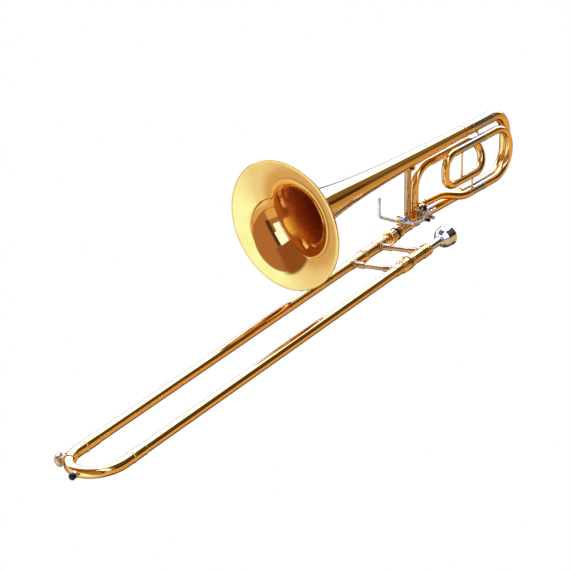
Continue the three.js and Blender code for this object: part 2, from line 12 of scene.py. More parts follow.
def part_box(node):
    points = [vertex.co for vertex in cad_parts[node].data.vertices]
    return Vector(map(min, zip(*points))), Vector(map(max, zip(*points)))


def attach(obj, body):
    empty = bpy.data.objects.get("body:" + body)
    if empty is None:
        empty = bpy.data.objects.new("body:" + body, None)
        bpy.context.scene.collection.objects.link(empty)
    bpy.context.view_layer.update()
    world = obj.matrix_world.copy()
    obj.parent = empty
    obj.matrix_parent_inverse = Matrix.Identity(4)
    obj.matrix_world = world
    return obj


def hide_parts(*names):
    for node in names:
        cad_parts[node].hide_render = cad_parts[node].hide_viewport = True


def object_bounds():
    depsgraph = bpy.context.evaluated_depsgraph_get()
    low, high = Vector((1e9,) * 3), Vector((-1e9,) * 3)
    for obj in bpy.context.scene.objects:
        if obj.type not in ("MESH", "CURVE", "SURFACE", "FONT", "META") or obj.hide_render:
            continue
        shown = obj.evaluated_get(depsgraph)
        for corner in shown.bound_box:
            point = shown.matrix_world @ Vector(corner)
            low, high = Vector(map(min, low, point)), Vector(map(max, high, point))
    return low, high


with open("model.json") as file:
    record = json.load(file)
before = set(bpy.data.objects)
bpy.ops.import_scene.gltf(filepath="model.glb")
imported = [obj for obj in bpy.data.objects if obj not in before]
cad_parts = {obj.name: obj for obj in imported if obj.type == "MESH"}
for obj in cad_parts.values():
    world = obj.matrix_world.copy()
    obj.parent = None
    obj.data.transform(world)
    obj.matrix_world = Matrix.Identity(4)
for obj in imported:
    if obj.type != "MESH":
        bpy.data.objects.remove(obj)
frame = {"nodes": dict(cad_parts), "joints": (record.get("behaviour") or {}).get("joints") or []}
cad_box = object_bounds()

MM = 0.001
SIDES = 48
RING_SIDES = 64
FINE_SIDES = 96
BELL_SIDES = 144
SMOOTH_ANGLE = 38
ALONG = (1, 0, 0)
ACROSS = (0, 1, 0)
UP = (0, 0, 1)
JOINT_GAP = 0.3

# ---- driving dimensions ----
RIM = 108
FLARE_START = 18
FLARE_POWER = 0.715
BELL_LENGTH = 470
THROAT_START = 28
THROAT_FADE = 60
SECTION_HEIGHT = 113
TUNING_MOUTH = -552
TUNING_END = -599
TUNING_BEND = 44.5
F_RADIUS = 6.8
F_BORE = 6.1
F_SIDE = 20
F_UPPER = -15.5
F_LOWER = -105.5
F_INNER_UPPER = -23
F_INNER_LOWER = -73.5
F_RISER_X = -337.5
F_REAR_JOINT = -483
F_FRONT_JOINT = -424
F_FRONT_END = -397
F_RETURN_JOINT = -466
F_SLIDE_MOUTH = -506
VALVE_X = -344
VALVE_Z = -102
VALVE_RADIUS = 16
VALVE_HALF = 11
ARM_REST = 125
ARM_RADIUS = 13
STOP_SPREAD = 28
POST_X = -319
HINGE_X = -301
HINGE_Z = -97
RECEIVER_Z = -117.6
LOCK_NUT_STATION = 58
LOCK_RING_STATION = 150
BOW_CENTRE = 848
BOW_RADIUS = 8.6
WATER_KEY_ANGLE = -62
CAMERA_LENS = 138.95
CAMERA_PLACE = (2.66272, 1.98899, 1.50966)
CAMERA_ANGLES = (40.317, 26.779, 1.168)


# ---- places ----
def local_frame(origin, run, across):
    """The matrix from millimetres along run, across and their normal to metres in the row frame."""
    x = Vector(run).normalized()
    y = Vector(across)
    y = (y - x * x.dot(y)).normalized()
    turn = Matrix((x, y, x.cross(y))).transposed().to_4x4()
    return Matrix.Translation(origin) @ turn @ Matrix.Scale(MM, 4)


joints = {joint["name"]: joint for joint in frame["joints"]}
rim_low, rim_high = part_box("bell_flare")
bell_middle = (rim_low + rim_high) / 2
BELL = local_frame((rim_high.x, bell_middle.y, bell_middle.z), ALONG, ACROSS)
slide_run = Vector(joints["hand_slide"]["axis"]).normalized()
far_start = Vector(joints["bell_lock_turn"]["pos_m"]) - slide_run * LOCK_NUT_STATION * MM
near_start = Vector(joints["slide_lock_turn"]["pos_m"]) - slide_run * LOCK_RING_STATION * MM
SLIDE = local_frame(far_start, slide_run, near_start - far_start)
FAR = 0
NEAR = (near_start - far_start).length / MM


# ---- shells: an array of points and a list of faces ----
def turned(profile, sides, swell=None):
    """A profile of (x, radius) turned about X: a closed loop, or a line with both ends on the axis."""
    closed = profile[0][1] > 1e-6
    angles = [2 * math.pi * k / sides for k in range(sides)]
    points = []
    rings = []
    for x, radius in profile:
        if radius < 1e-6:
            rings.append([len(points)] * sides)
            points.append((x, 0, 0))
            continue
        rings.append(list(range(len(points), len(points) + sides)))
        for angle in angles:
            reach = radius + (swell(x, radius, angle) if swell else 0)
            points.append((x, reach * math.cos(angle), reach * math.sin(angle)))
    faces = []
    for i in range(len(rings) if closed else len(rings) - 1):
        here, there = rings[i], rings[(i + 1) % len(rings)]
        for k in range(sides):
            after = (k + 1) % sides
            face = list(dict.fromkeys((here[k], here[after], there[after], there[k])))
            if len(face) > 2:
                faces.append(face)
    return np.array(points), faces


def rounded(profile, size, steps=3):
    """The profile with its corners rounded. A short straight stays beside every corner, so that
    the shading of a long wall isn't bent by its ends."""
    closed = profile[0][1] > 1e-6
    corners = [np.array(p, float) for p in profile]
    last = len(corners) - 1
    points = []
    for i, corner in enumerate(corners):
        if not closed and i in (0, last):
            points.append(corner)
            continue
        back = corners[i - 1] - corner
        ahead = corners[(i + 1) % len(corners)] - corner
        back_length, ahead_length = np.linalg.norm(back), np.linalg.norm(ahead)
        straightness = -back @ ahead / (back_length * ahead_length)
        if straightness > 0.985:
            points.append(corner)
            continue
        cut = min(size, 0.4 * back_length, 0.4 * ahead_length)
        start, end = corner + back / back_length * cut, corner + ahead / ahead_length * cut
        if back_length > 4 * cut:
            points.append(start + back / back_length * cut * 0.5)
        for k in range(steps + 1):
            t = k / steps
            points.append((1 - t) ** 2 * start + 2 * t * (1 - t) * corner + t * t * end)
        if ahead_length > 4 * cut:
            points.append(end + ahead / ahead_length * cut * 0.5)
    return [(float(x), max(float(radius), 0)) for x, radius in points]


def lathe(profile, size, sides=SIDES, swell=None):
    """A profile turned about X, with its corners rounded."""
    return turned(rounded(profile, size), sides, swell)


def knurl(count, depth, cut_at):
    """Grooves along a turned shape, for lathe's swell: they are cut where cut_at(x, radius) holds."""
    return lambda x, radius, angle: -depth * (0.5 + 0.5 * math.cos(count * angle)) if cut_at(x, radius) else 0


def arc(x, radius, size, start, end, steps):
    """Points of a round bead in a profile, from one angle to another in degrees."""
    angles = [math.radians(start + (end - start) * k / steps) for k in range(steps + 1)]
    return [(x + size * math.cos(a), radius + size * math.sin(a)) for a in angles]


def shifted(start, profile):
    """A profile with its stations counted from a start."""
    return [(start + x, radius) for x, radius in profile]


def tube(start, end, outer, inner, sides=SIDES):
    return lathe([(start, inner), (start, outer), (end, outer), (end, inner)], 0.3, sides)


def ferrule(start, end, outer, inner, bead=0.5, width=1.6):
    """A soldered sleeve with a raised bead at both ends."""
    return lathe([
        (start, inner), (start, outer + bead), (start + width, outer + bead), (start + width + 0.5, outer),
        (end - width - 0.5, outer), (end - width, outer + bead), (end, outer + bead), (end, inner),
    ], 0.35)


def moved(shell, matrix):
    points, faces = shell
    turn = np.array(matrix.to_3x3())
    return points @ turn.T + np.array(matrix.translation), faces


def facing(direction):
    """The turn that takes the X axis to a direction."""
    x = Vector(direction).normalized()
    hint = Vector(UP if abs(x.z) < 0.9 else ALONG)
    y = hint.cross(x).normalized()
    return Matrix((x, y, x.cross(y))).transposed()


def aimed(shell, origin, direction=ALONG):
    """The shell with its origin at a point and its X axis along a direction."""
    return moved(shell, Matrix.Translation(origin) @ facing(direction).to_4x4())


def block(size, centre, bevel, turn=0):
    """A cast block with rounded edges, turned about the Y axis by an angle in degrees."""
    mesh = bmesh.new()
    bmesh.ops.create_cube(mesh, size=1, matrix=Matrix.Diagonal((*size, 1)))
    bmesh.ops.bevel(mesh, geom=mesh.edges[:], offset=bevel, segments=3, profile=0.5, affect="EDGES")
    mesh.verts.index_update()
    points = np.array([v.co for v in mesh.verts], float)
    faces = [[v.index for v in face.verts] for face in mesh.faces]
    mesh.free()
    turn_matrix = Matrix.Rotation(math.radians(-turn), 4, "Y")
    return moved((points, faces), Matrix.Translation(centre) @ turn_matrix)


# ---- centre lines ----
class Route:
    """Straight legs between corner points with a round bend at every inner corner."""

    def __init__(self, corners, radius):
        corners = [Vector(c) for c in corners]
        self.legs = []
        self.length = 0
        place = corners[0]
        heading = (corners[1] - corners[0]).normalized()
        side = heading.cross(Vector((0, 1, 0.01)))
        if side.length < 0.5:
            side = heading.cross(Vector(UP))
        side.normalize()
        for i in range(1, len(corners)):
            if i == len(corners) - 1:
                self._leg(place, heading, side, (corners[i] - place).length)
                break
            ahead = (corners[i + 1] - corners[i]).normalized()
            turn = heading.angle(ahead)
            inset = radius * math.tan(turn / 2)
            start = corners[i] - heading * inset
            self._leg(place, heading, side, (start - place).length)
            axis = heading.cross(ahead).normalized()
            pivot = start + axis.cross(heading) * radius
            self._leg(start, heading, side, radius * turn, pivot, axis, radius)
            spin = Matrix.Rotation(turn, 3, axis)
            place = pivot + spin @ (start - pivot)
            heading, side = spin @ heading, spin @ side

    def _leg(self, place, heading, side, length, pivot=None, axis=None, radius=0):
        if length > 1e-3:
            self.legs.append((self.length, length, place, heading, side, pivot, axis, radius))
            self.length += length

    def at(self, along):
        """The place and the three directions at a length along the line."""
        leg = next((g for g in self.legs if along <= g[0] + g[1] + 1e-6), self.legs[-1])
        start, _, place, heading, side, pivot, axis, radius = leg
        if pivot is None:
            return place + heading * (along - start), heading, side, heading.cross(side)
        spin = Matrix.Rotation((along - start) / radius, 3, axis)
        heading, side = spin @ heading, spin @ side
        return pivot + spin @ (place - pivot), heading, side, heading.cross(side)

    def stops(self, step):
        """Lengths at which a pipe needs a ring: in the bends, no more than step degrees apart."""
        found = []
        for start, length, *_, radius in self.legs:
            if radius:
                count = max(3, math.ceil(math.degrees(length / radius) / step))
                found += [start + length * k / count for k in range(count + 1)]
            elif length > 5:
                found += [start, start + 1.5, start + length - 1.5, start + length]
            else:
                found += [start, start + length]
        return sorted({round(s, 4) for s in found})


def bent(shell, line):
    """A shell turned about X, laid along a route."""
    points, faces = shell
    laid = np.empty_like(points)
    places = {}
    for i, (x, y, z) in enumerate(points):
        key = round(float(x), 4)
        if key not in places:
            places[key] = [np.array(v) for v in line.at(key)]
        place, _, side, up = places[key]
        laid[i] = place + side * y + up * z
    return laid, faces


def pipe(line, outer, inner, sides=SIDES, step=4):
    """A pipe along a route. The radii are numbers, or functions of the share of the length."""
    outer_at = outer if callable(outer) else lambda share: outer
    inner_at = inner if callable(inner) else lambda share: inner
    stops = line.stops(step)
    outside = [(s, outer_at(s / line.length)) for s in stops]
    inside = [(s, inner_at(s / line.length)) for s in reversed(stops)]
    return bent(turned(outside + inside, sides), line)


def wire(line, radius_at):
    """A solid wire with rounded ends along a route; the radius is a function of the share."""
    stops = line.stops(6)
    first, last = radius_at(0), radius_at(1)
    caps = [0, 0.12, 0.45, 1]
    start = [(first * c, first * math.sqrt(max(0, 1 - (1 - c) ** 2))) for c in caps]
    end = [(line.length - last * c, last * math.sqrt(max(0, 1 - (1 - c) ** 2))) for c in reversed(caps)]
    middle = [(s, radius_at(s / line.length)) for s in stops if first < s < line.length - last]
    return bent(turned(start + middle + end, 24), line)


# ---- stays and feet that lie on a tube ----
def seated(profile, along, radius, fade=3.5, sides=32, stretch=1.0):
    """A turned shape that stands on a tube: x is its height over the tube's crown, and its lowest
    rings follow the tube, whose direction is given in the shape's own frame."""
    points, faces = turned(profile, sides)
    along = np.array(Vector(along).normalized())
    across = np.cross(ALONG, along)
    for i, point in enumerate(points):
        offset = point @ across
        weight = max(0.0, min(1.0, (fade - point[0]) / fade))
        drop = radius - math.sqrt(max(radius ** 2 - offset ** 2, 0.1))
        lengthwise = point @ along
        grown = along * lengthwise * (stretch - 1) * weight
        points[i] = point + grown - np.array((drop * weight, 0, 0))
    return points, faces


def foot_profile(bar, foot):
    """From a flat flange, sunk a little into the tube, up to the bar."""
    step = foot - bar
    return [
        (-0.25, 0), (-0.25, foot), (0.35, foot), (0.8, foot - 0.35), (1.0, bar + 0.62 * step),
        (1.5, bar + 0.38 * step), (2.4, bar + 0.14 * step),
    ]


def stay(start, end, start_tube, end_tube, bar, foot, sockets=None):
    """A round stay between two tubes, each given by its direction and radius. Its two halves
    overlap slightly. Sockets have a length and a radius, and hold the bar at both ends."""
    start, end = Vector(start), Vector(end)
    heading = (end - start).normalized()
    middle = (end - start).length / 2
    shells = []
    for origin, direction, (along, radius) in ((start, heading, start_tube), (end, -heading, end_tube)):
        reach = middle - radius + (0.02 if direction is heading else 0)
        profile = foot_profile(bar, foot)
        if sockets:
            length, size = sockets
            profile += [(3.6, size), (length, size), (length + 0.8, size - 0.3), (length + 1.0, bar)]
        else:
            profile.append((3.6, bar))
        profile += [(reach, bar), (reach, 0)]
        shell = seated(rounded(profile, 0.3, 2), facing(direction).transposed() @ Vector(along), radius,
                       stretch=1.25)
        shells.append(aimed(shell, origin + direction * radius, direction))
    return shells


# ---- materials ----
def node(tree, kind, location, **settings):
    made = tree.nodes.new(kind)
    made.location = location
    for name, value in settings.items():
        setattr(made, name, value)
    return made


def noise(tree, coordinates, scale, detail, location, stretch=None):
    """Noise over the object's own coordinates, in metres."""
    source = coordinates
    if stretch:
        mapping = node(tree, "ShaderNodeMapping", (location[0] - 200, location[1]))
        mapping.inputs["Scale"].default_value = stretch
        tree.links.new(coordinates, mapping.inputs["Vector"])
        source = mapping.outputs["Vector"]
    made = node(tree, "ShaderNodeTexNoise", location)
    made.inputs["Scale"].default_value = scale
    made.inputs["Detail"].default_value = detail
    tree.links.new(source, made.inputs["Vector"])
    return made.outputs["Fac"]


def ranged(tree, value, low, high, location, source=(0.35, 0.65)):
    made = node(tree, "ShaderNodeMapRange", location)
    made.inputs["From Min"].default_value, made.inputs["From Max"].default_value = source
    made.inputs["To Min"].default_value, made.inputs["To Max"].default_value = low, high
    tree.links.new(value, made.inputs["Value"])
    return made.outputs["Result"]


def blended(tree, factor, first, second, location):
    made = node(tree, "ShaderNodeMix", location, data_type="RGBA")
    tree.links.new(factor, made.inputs["Factor"])
    for socket, colour in (("A", first), ("B", second)):
        inputs = [i for i in made.inputs if i.name == socket and i.type == "RGBA"]
        if isinstance(colour, tuple):
            inputs[0].default_value = (*colour, 1)
        else:
            tree.links.new(colour, inputs[0])
    return next(o for o in made.outputs if o.type == "RGBA")


def finish(name, colour, shade, roughness, metallic=1.0, coat=0.0, coat_roughness=0.05, bump=0.006,
           bump_scale=900, specular=0.5, worn=None, dull_and_shaded=None):
    """A metal or rubber finish: its colour drifts slowly between two tones, its roughness carries
    faint wipe marks, and a fine bump breaks up the reflections. Where the mesh's "depth" goes to 1,
    as deep in the bell, the surface is duller and less metallic, and its colour goes to a darker,
    redder tone that is painted shade deep in the throat."""
    material = bpy.data.materials.new(f"{name}_finish")
    material.use_nodes = True
    tree = material.node_tree
    link = tree.links.new
    shader = tree.nodes["Principled BSDF"]
    coordinates = node(tree, "ShaderNodeTexCoord", (-1100, 0)).outputs["Object"]
    drift = noise(tree, coordinates, 45, 3, (-800, 300))
    drift = ranged(tree, drift, 0, 1, (-600, 300))
    tone = blended(tree, drift, colour, shade, (-400, 300))
    if worn:
        specks = noise(tree, coordinates, 700, 2, (-800, 550))
        specks = ranged(tree, specks, 0, 1, (-600, 550), (0.70, 0.74))
        tone = blended(tree, specks, tone, worn, (-200, 400))
    wipes = noise(tree, coordinates, 60, 5, (-800, 0), (1, 9, 9))
    wipes = ranged(tree, wipes, roughness[0], roughness[1], (-600, 0))
    # Deep in the bell: a duller, less metallic surface, and a darker, redder colour that is painted shade in
    # the throat.
    if dull_and_shaded:
        depth = node(tree, "ShaderNodeAttribute", (-800, -150), attribute_name="depth").outputs["Fac"]
        tone = blended(tree, depth, tone, dull_and_shaded, (-100, 300))
        dull = node(tree, "ShaderNodeMath", (-400, 0), operation="MULTIPLY_ADD")
        link(depth, dull.inputs[0])
        dull.inputs[1].default_value = 0.30
        link(wipes, dull.inputs[2])
        wipes = dull.outputs[0]
        link(ranged(tree, depth, 1.0, 0.80, (-400, 100), (0, 1)), shader.inputs["Metallic"])
    link(tone, shader.inputs["Base Color"])
    link(wipes, shader.inputs["Roughness"])
    grain = noise(tree, coordinates, bump_scale, 3, (-800, -300))
    bumps = node(tree, "ShaderNodeBump", (-400, -300))
    bumps.inputs["Strength"].default_value = bump
    bumps.inputs["Distance"].default_value = 0.0002
    link(grain, bumps.inputs["Height"])
    link(bumps.outputs["Normal"], shader.inputs["Normal"])
    shader.inputs["Metallic"].default_value = metallic
    shader.inputs["Specular IOR Level"].default_value = specular
    shader.inputs["Coat Weight"].default_value = coat
    shader.inputs["Coat Roughness"].default_value = coat_roughness
    return material


BRASS = {"colour": (0.94, 0.57, 0.17), "shade": (0.91, 0.53, 0.145), "roughness": (0.03, 0.065),
         "coat": 0.35, "coat_roughness": 0.04}
MATERIALS = {
    "lacquered_brass": finish("lacquered_brass", **BRASS, worn=(0.62, 0.30, 0.07)),
    # The bell's finish darkens and reddens deep in the throat: painted shade, with a duller surface there.
    "bell_brass": finish("bell_brass", **BRASS, dull_and_shaded=(0.70, 0.235, 0.045)),
    # A darker, redder copy of the brass for the bell brace's post and the slide's bars: painted shade, where
    # these parts lie darker than the brass round them.
    "shaded_brass": finish("shaded_brass", (0.62, 0.335, 0.15), (0.54, 0.285, 0.125), (0.035, 0.075),
                         coat=0.25, coat_roughness=0.05, worn=(0.40, 0.20, 0.08)),
    "nickel_silver": finish("nickel_silver", (0.60, 0.53, 0.37), (0.52, 0.46, 0.32), (0.04, 0.09),
                            worn=(0.40, 0.36, 0.30)),
    "warm_nickel": finish("warm_nickel", (0.78, 0.57, 0.38), (0.66, 0.46, 0.30), (0.05, 0.10),
                          worn=(0.42, 0.30, 0.20)),
    "silver_plate": finish("silver_plate", (0.76, 0.79, 0.84), (0.70, 0.73, 0.78), (0.03, 0.08)),
    "steel": finish("steel", (0.34, 0.34, 0.36), (0.26, 0.26, 0.28), (0.20, 0.32), bump=0.05),
    "rubber": finish("rubber", (0.005, 0.005, 0.006), (0.010, 0.010, 0.012), (0.14, 0.24), metallic=0.0,
                     bump=0.12, bump_scale=1500, specular=0.2),
}


# ---- objects ----
def linked(name, data):
    """A new object in the scene."""
    made = bpy.data.objects.new(name, data)
    bpy.context.scene.collection.objects.link(made)
    return made


def make(name, body, slot, shells, place=BELL, stands_for=(), material=None):
    """One piece from shells in millimetres: it rides on a body, and stands for CAD nodes."""
    shells = [shells] if isinstance(shells, tuple) else shells
    rotate = np.array(place.to_3x3())
    points = np.concatenate([shell[0] for shell in shells]) @ rotate.T + np.array(place.translation)
    faces = []
    start = 0
    for shell_points, shell_faces in shells:
        faces += [[i + start for i in face] for face in shell_faces]
        start += len(shell_points)
    mesh = bpy.data.meshes.new(name)
    mesh.from_pydata(points.tolist(), [], faces)
    work = bmesh.new()
    work.from_mesh(mesh)
    bmesh.ops.recalc_face_normals(work, faces=work.faces)
    work.to_mesh(mesh)
    work.free()
    mesh.shade_smooth()
    mesh.set_sharp_from_angle(angle=math.radians(SMOOTH_ANGLE))
    made = linked(name, mesh)
    mesh.materials.append(material or MATERIALS[slot])
    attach(made, body)
    if stands_for:
        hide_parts(*stands_for)
    return made


def paint(node_name, slot):
    """A CAD node whose shape is kept gets the detailed finish."""
    kept = frame["nodes"][node_name]
    kept.data.materials.clear()
    kept.data.materials.append(MATERIALS[slot])


# ---- bell ----
def bell_radius(behind):
    return RIM * (FLARE_START / (FLARE_START + behind)) ** FLARE_POWER


def bell_shell():
    """The spun bell as one seamless wall with a wired rim."""
    wall = 0.95
    steps = 84
    crowding = 2.3
    first = 1.25
    outside = []
    inside = []
    for k in range(steps + 1):
        behind = first + (BELL_LENGTH - first) * (1 - k / steps) ** crowding
        radius = bell_radius(behind)
        slope = FLARE_POWER * radius / (FLARE_START + behind)
        stretch = wall / math.hypot(1, slope)
        outside.append((-behind, radius))
        inside.append((-behind + slope * stretch, radius - stretch))
    bead = arc(-1.95, RIM - 1.8, 1.75, 248, -8, 16)
    return turned(outside + bead + [(-0.22, RIM - 3.2)] + inside[::-1], BELL_SIDES)


def shade_throat(bell):
    """Writes how far each point of the bell's inner wall lies past the flare, from 0 to 1: the mask for the
    duller finish and the painted shade deep in the throat.
    """
    to_bell = BELL.inverted()
    depth = bell.data.attributes.new("depth", "FLOAT", "POINT")
    for vertex in bell.data.vertices:
        x, y, z = to_bell @ vertex.co
        inside = math.hypot(y, z) < bell_radius(-x) - 0.4
        share = min(max((-x - THROAT_START) / THROAT_FADE, 0), 1) if inside else 0
        depth.data[vertex.index].value = share * share * (3 - 2 * share)


tail = bell_radius(BELL_LENGTH)
bell = make("bell", "instrument", "lacquered_brass", bell_shell(), stands_for=("bell_flare", "bell_stem"),
            material=MATERIALS["bell_brass"])
shade_throat(bell)
make("bell_tail_ring", "instrument", "lacquered_brass", lathe([
    (-493.6, tail - 0.3), (-493.6, tail + 0.9), (-490.8, tail + 0.9), (-490.2, tail + 0.5),
    (-479, tail + 0.35), (-473.4, tail + 0.5), (-472.9, tail + 1), (-470.4, tail + 1), (-470.4, tail - 0.3),
], 0.4, RING_SIDES), stands_for=("bell_tail_ferrule",))
make("upper_tuning_sleeve", "instrument", "nickel_silver", lathe([
    (TUNING_MOUTH, 9.7), (TUNING_MOUTH, 10.9), (-549.6, 10.9), (-549.2, 10.4), (-497.4, 10.4), (-497, 10.9),
    (-494.1, 10.9), (-494.1, 9.7),
], 0.3, RING_SIDES), stands_for=("tuning_sleeve_upper",))

lower = (0, 0, -SECTION_HEIGHT)
make("neck_pipe", "instrument", "lacquered_brass", aimed(tube(-470, -365.3, 8, 7), lower),
     stands_for=("neckpipe",))
make("neck_pipe_ring", "instrument", "lacquered_brass", aimed(ferrule(-477.6, -470.3, 9.2, 8.1), lower),
     stands_for=("neckpipe_ferrule",))
make("lower_tuning_sleeve", "instrument", "nickel_silver", aimed(lathe([
    (TUNING_MOUTH, 8.4), (TUNING_MOUTH, 9.6), (-549.6, 9.6), (-549.2, 9.1), (-481.4, 9.1), (-481, 9.6),
    (-478.1, 9.6), (-478.1, 8.4),
], 0.3), lower), stands_for=("tuning_sleeve_lower",))


# ---- main tuning slide ----
def tuning_crook():
    """The bow narrows from the bell's leg to the neckpipe's."""
    start = TUNING_MOUTH - JOINT_GAP
    line = Route([(start, 0, 0), (TUNING_END, 0, 0), (TUNING_END, 0, -SECTION_HEIGHT),
                  (start, 0, -SECTION_HEIGHT)], TUNING_BEND)
    return pipe(line, lambda share: 9.9 - 1.3 * share, lambda share: 9 - 1.3 * share, RING_SIDES, 3)


make("tuning_crook", "main_tuning_slide", "lacquered_brass", [
    tuning_crook(),
    lathe([(-558.2, 9.6), (-558.2, 10.7), (-552.4, 10.7), (-552.4, 9.6)], 0.5, RING_SIDES),
    aimed(lathe([(-558.2, 8.3), (-558.2, 9.4), (-552.4, 9.4), (-552.4, 8.3)], 0.5), lower),
], stands_for=("main_tuning_slide",))
make("tuning_legs", "main_tuning_slide", "nickel_silver", [
    tube(-560, -498, 9.4, 8.6),
    aimed(tube(-560, -498, 8.1, 7.3), lower),
])

# ---- bell brace ----
bell_under = bell_radius(-POST_X)
saddle_radius = 9.2


def post_tube(radius):
    """The upright tube between the bell and the receiver, with a raised ring at both ends."""
    top = -bell_under - 3.3
    bottom = RECEIVER_Z + 12.6 + 0.3
    ring = radius + 0.9
    return aimed(lathe([
        (bottom, radius - 1.2), (bottom, ring), (bottom + 3, ring), (bottom + 3.6, radius),
        (top - 3.6, radius), (top - 3, ring), (top, ring), (top, radius - 1.2),
    ], 0.4), (POST_X, 0, 0), UP)


# The post is a darker copy of the brass: painted shade.
make("brace_post", "instrument", "lacquered_brass", post_tube(5.7), stands_for=("bell_brace_post",),
     material=MATERIALS["shaded_brass"])
flange = seated(rounded([(-0.3, 0), (-0.3, 11.5), (0.9, 11.5), (1.5, 7.4), (3, 6.9), (3, 0)], 0.4),
                ACROSS, bell_under, fade=3, sides=SIDES, stretch=1.1)
make("brace_top_flange", "instrument", "lacquered_brass",
     aimed(flange, (POST_X, 0, -bell_under), (0, 0, -1)), stands_for=("bell_brace_flange",))
foot = seated(rounded([(-0.3, 0), (-0.3, 8.2), (1.1, 8.2), (1.8, 6.9), (3.4, 6.4), (3.4, 0)], 0.4),
              ACROSS, saddle_radius, fade=3, sides=SIDES, stretch=1.15)
make("brace_foot", "instrument", "lacquered_brass",
     aimed(foot, (POST_X, 0, RECEIVER_Z + saddle_radius), UP), stands_for=("bell_brace_foot",))

# ---- F attachment ----
f_rear_bend = math.hypot(F_SIDE, F_INNER_UPPER - F_INNER_LOWER) / 2
f_rear_end = F_REAR_JOINT - 2 - f_rear_bend
f_riser_end = F_REAR_JOINT + JOINT_GAP
f_inner_end = F_FRONT_JOINT - JOINT_GAP
f_parts = {
    "f_riser": ("f_riser_pipe", Route([
        (F_RISER_X, 0, -80.7), (F_RISER_X, 0, F_INNER_UPPER), (f_riser_end, 0, F_INNER_UPPER)], 36)),
    "f_rear_bow": ("f_rear_crook", Route([
        (F_REAR_JOINT, 0, F_INNER_UPPER), (f_rear_end, 0, F_INNER_UPPER),
        (f_rear_end, F_SIDE, F_INNER_LOWER), (F_REAR_JOINT, F_SIDE, F_INNER_LOWER)], f_rear_bend)),
    "f_inner_run": ("f_inner_pipe", Route([
        (f_riser_end, F_SIDE, F_INNER_LOWER), (f_inner_end, F_SIDE, F_INNER_LOWER)], 1)),
    "f_front_bow": ("f_front_crook", Route([
        (F_FRONT_JOINT, F_SIDE, F_INNER_LOWER), (F_FRONT_END, F_SIDE, F_INNER_LOWER),
        (F_FRONT_END, F_SIDE, F_UPPER), (F_FRONT_JOINT, F_SIDE, F_UPPER)], 23.5)),
    "f_s_bend": ("f_return_pipe", Route([
        (F_RETURN_JOINT, F_SIDE, F_LOWER), (-448, F_SIDE, F_LOWER), (-409.6, 4, -93), (-363.6, 2, -92)], 60)),
}
for stood_for, (name, line) in f_parts.items():
    make(name, "instrument", "lacquered_brass", pipe(line, F_RADIUS, F_BORE), stands_for=(stood_for,))
for level, joint, height in (("upper", F_FRONT_JOINT, F_UPPER), ("lower", F_RETURN_JOINT, F_LOWER)):
    end = joint - JOINT_GAP
    make(f"f_{level}_sleeve", "instrument", "nickel_silver", aimed(lathe([
        (F_SLIDE_MOUTH, F_BORE), (F_SLIDE_MOUTH, 7.2), (-504.2, 7.2), (-503.8, F_RADIUS), (end, F_RADIUS),
        (end, F_BORE),
    ], 0.3), (0, F_SIDE, height)), stands_for=(f"f_slide_sleeve_{level}",))


def f_ring(start, end, size, y, z):
    """A thin ring with a small bead at both ends, on one of the F tubes."""
    return aimed(ferrule(start, end, size, 6.75, 0.35, 1.2), (0, y, z))


f_joints = (
    (F_REAR_JOINT, 0, F_INNER_UPPER), (F_REAR_JOINT, F_SIDE, F_INNER_LOWER),
    (F_FRONT_JOINT, F_SIDE, F_INNER_LOWER), (F_FRONT_JOINT, F_SIDE, F_UPPER),
    (F_RETURN_JOINT, F_SIDE, F_LOWER),
)
make("f_joint_rings", "instrument", "lacquered_brass",
     [f_ring(x - 3, x + 3, 7.0, y, z) for x, y, z in f_joints])
f_crook_start = F_SLIDE_MOUTH - JOINT_GAP
f_bow = Route([(f_crook_start, F_SIDE, F_UPPER), (-583.5, F_SIDE, F_UPPER), (-583.5, F_SIDE, F_LOWER),
               (f_crook_start, F_SIDE, F_LOWER)], 45)
make("f_slide_crook", "f_tuning_slide", "lacquered_brass", [
    pipe(f_bow, F_RADIUS, 5.3, SIDES, 3),
    *[f_ring(-512, -506.4, 6.85, F_SIDE, height) for height in (F_UPPER, F_LOWER)],
], stands_for=("f_tuning_slide",))
make("f_slide_legs", "f_tuning_slide", "nickel_silver", [
    aimed(tube(-512, -470, 5.8, 5.1), (0, F_SIDE, height)) for height in (F_UPPER, F_LOWER)
])

f_stays = {
    "f_brace_inner": ("f_inner_stay", -444, (F_SIDE, F_UPPER, F_RADIUS), (F_SIDE, F_INNER_LOWER, F_RADIUS)),
    "f_brace_lower": ("f_lower_stay", -475, (F_SIDE, F_INNER_LOWER, F_RADIUS), (F_SIDE, F_LOWER, F_RADIUS)),
    "f_brace_bell": ("f_bell_stay", -501, (0, 0, 10.9), (F_SIDE, F_UPPER, F_RADIUS)),
}
for stood_for, (name, x, (y0, z0, r0), (y1, z1, r1)) in f_stays.items():
    make(name, "instrument", "lacquered_brass",
         stay((x, y0, z0), (x, y1, z1), (ALONG, r0), (ALONG, r1), 1.5, 3), stands_for=(stood_for,))


# ---- rotary valve ----
def on_valve(*point):
    return (VALVE_X + point[0], point[1], VALVE_Z + point[2])


def port(direction, offset, outer, inner, reach):
    """A stub that leaves the casing: its inner end follows the casing's round wall."""
    points, faces = lathe([
        (-0.8, inner), (-0.8, outer + 1.4), (0.4, outer + 1.1), (1.8, outer + 0.2), (3.2, outer),
        (reach - 2.6, outer), (reach - 2.2, outer + 0.6), (reach, outer + 0.6), (reach, inner),
    ], 0.3)
    direction = Vector(direction)
    across = Vector(ACROSS).cross(direction)
    shift = Vector(offset).dot(across)
    across_own = np.array(facing(direction).transposed() @ across)
    for i, point in enumerate(points):
        side = float(point @ across_own) + shift
        wall = math.sqrt(max(VALVE_RADIUS ** 2 - side ** 2, 4))
        weight = max(0.0, min(1.0, (4 - point[0]) / 4))
        start = wall * weight + VALVE_RADIUS * (1 - weight)
        points[i][0] = point[0] + start
    return aimed((points, faces), on_valve(*(across * shift + Vector((0, offset[1], 0)))), direction)


